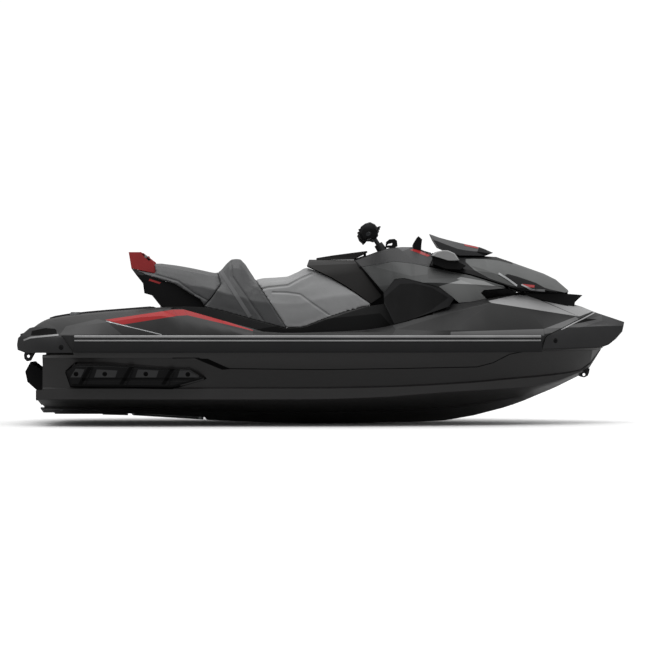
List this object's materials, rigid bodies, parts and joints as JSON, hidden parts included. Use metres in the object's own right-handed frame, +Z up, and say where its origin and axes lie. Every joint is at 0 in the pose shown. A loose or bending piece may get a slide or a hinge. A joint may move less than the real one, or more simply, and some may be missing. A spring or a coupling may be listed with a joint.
{
  "type": "personal watercraft",
  "caption": "Three-seat personal watercraft with a decked V hull, stepped saddle seats, handlebar console, opening front lid and a steerable water-jet pump with a reverse gate.",
  "frame": {"origin": "amidships on the centreline, on the water's surface where the unladen craft floats", "axes": "+X forward to the bow, +Y to port, +Z up"},
  "size_m": [3.3174, 1.255, 1.1043],
  "materials": {
    "hull_gelcoat": "glossy gelcoat, charcoal black",
    "deck_gelcoat": "glossy gelcoat, dark grey",
    "rail_vinyl": "extruded vinyl",
    "bumper_plastic": "moulded, satin",
    "black_plastic": "moulded, satin",
    "black_gloss": "moulded, glossy",
    "traction_mat": "grooved foam mat",
    "anchor_metal": "satin",
    "fitting_black": "powder coated",
    "seat_light": "marine vinyl, pale grey",
    "seat_grey": "marine vinyl, mid grey",
    "red_plastic": "moulded, satin red",
    "dark_trim": "moulded, satin",
    "silver_paint": "metallic silver grey",
    "console_grey": "moulded, satin dark grey",
    "hood_grey": "metallic grey",
    "cowl_grey": "moulded, dark grey",
    "boot_rubber": "moulded rubber",
    "bin_plastic": "moulded",
    "bar_metal": "anodised dark grey",
    "grip_rubber": "moulded grip",
    "pad_foam": "covered foam",
    "engine_metal": "cast",
    "pump_metal": "cast, coated",
    "steel": "stainless",
    "plate_metal": "coated plate"
  },
  "bodies": {
    "craft": {"hull": "hull_gelcoat", "deck": "deck_gelcoat", "rub_rails": "rail_vinyl", "bow_bumper": "bumper_plastic", "stern_bumpers": "bumper_plastic", "sponsons": "black_plastic", "deck_mats": "traction_mat", "cargo_anchors": "anchor_metal", "stern_tow_eye": "fitting_black", "bow_eye": "fitting_black", "front_seat": "seat_light", "seat_bolster": "seat_grey", "rear_seat": "seat_grey", "rear_seat_base": "black_plastic", "grab_handle": "red_plastic", "glove_box_housing": "dark_trim", "console_core": "black_plastic", "side_panels": "silver_paint", "knee_pods": "black_gloss", "console_cover": "console_grey", "console_hoop": "black_plastic", "display": "black_gloss", "steering_boot": "boot_rubber", "nose_splitter": "black_plastic", "storage_bin": "bin_plastic", "engine_block": "engine_metal", "pump_housing": "pump_metal", "venturi": "pump_metal", "ride_plate": "plate_metal", "intake_grate": "steel"},
    "front_lid": {"front_lid": "black_plastic", "hood_panels": "hood_grey", "cowl": "cowl_grey", "mirrors": "silver_paint", "mirror_feet": "black_plastic"},
    "glove_box_lid": {"glove_box_lid": "dark_trim"},
    "steering": {"handlebar": "bar_metal", "grips": "grip_rubber", "bar_controls": "black_plastic", "steering_pad": "pad_foam"},
    "impeller": {"impeller": "steel"},
    "trim_ring": {"trim_ring": "pump_metal"},
    "steering_nozzle": {"steering_nozzle": "pump_metal"},
    "reverse_gate": {"reverse_gate": "black_plastic"}
  },
  "joints": [
    {"name": "front_lid_hinge", "type": "hinge", "parent": "craft", "child": "front_lid", "pos_m": [1.36651, 0, 0.49102], "axis": [0, 1, 0], "range_deg": [0, 55]},
    {"name": "glove_box_hinge", "type": "hinge", "parent": "craft", "child": "glove_box_lid", "pos_m": [0.25306, 0, 0.70365], "axis": [0, 1, 0], "range_deg": [0, 36]},
    {"name": "steering_column", "type": "hinge", "parent": "craft", "child": "steering", "pos_m": [0.34821, 0, 0.7158], "axis": [-0.5446, 0, 0.8387], "range_deg": [-25, 25]},
    {"name": "impeller_spin", "type": "hinge", "parent": "craft", "child": "impeller", "pos_m": [-1.22443, 0, -0.064], "axis": [1, 0, 0], "continuous": true},
    {"name": "trim_pivot", "type": "hinge", "parent": "craft", "child": "trim_ring", "pos_m": [-1.43243, 0, -0.064], "axis": [0, 1, 0], "range_deg": [-8, 8]},
    {"name": "nozzle_pivot", "type": "hinge", "parent": "trim_ring", "child": "steering_nozzle", "pos_m": [-1.43243, 0, -0.064], "axis": [0, 0, 1], "range_deg": [-20, 20]},
    {"name": "reverse_gate_pivot", "type": "hinge", "parent": "craft", "child": "reverse_gate", "pos_m": [-1.41443, 0, -0.026], "axis": [0, 1, 0], "range_deg": [-15, 50]}
  ],
  "couplings": [
    {"joint": "nozzle_pivot", "follows": "steering_column", "ratio": -0.8}
  ]
}
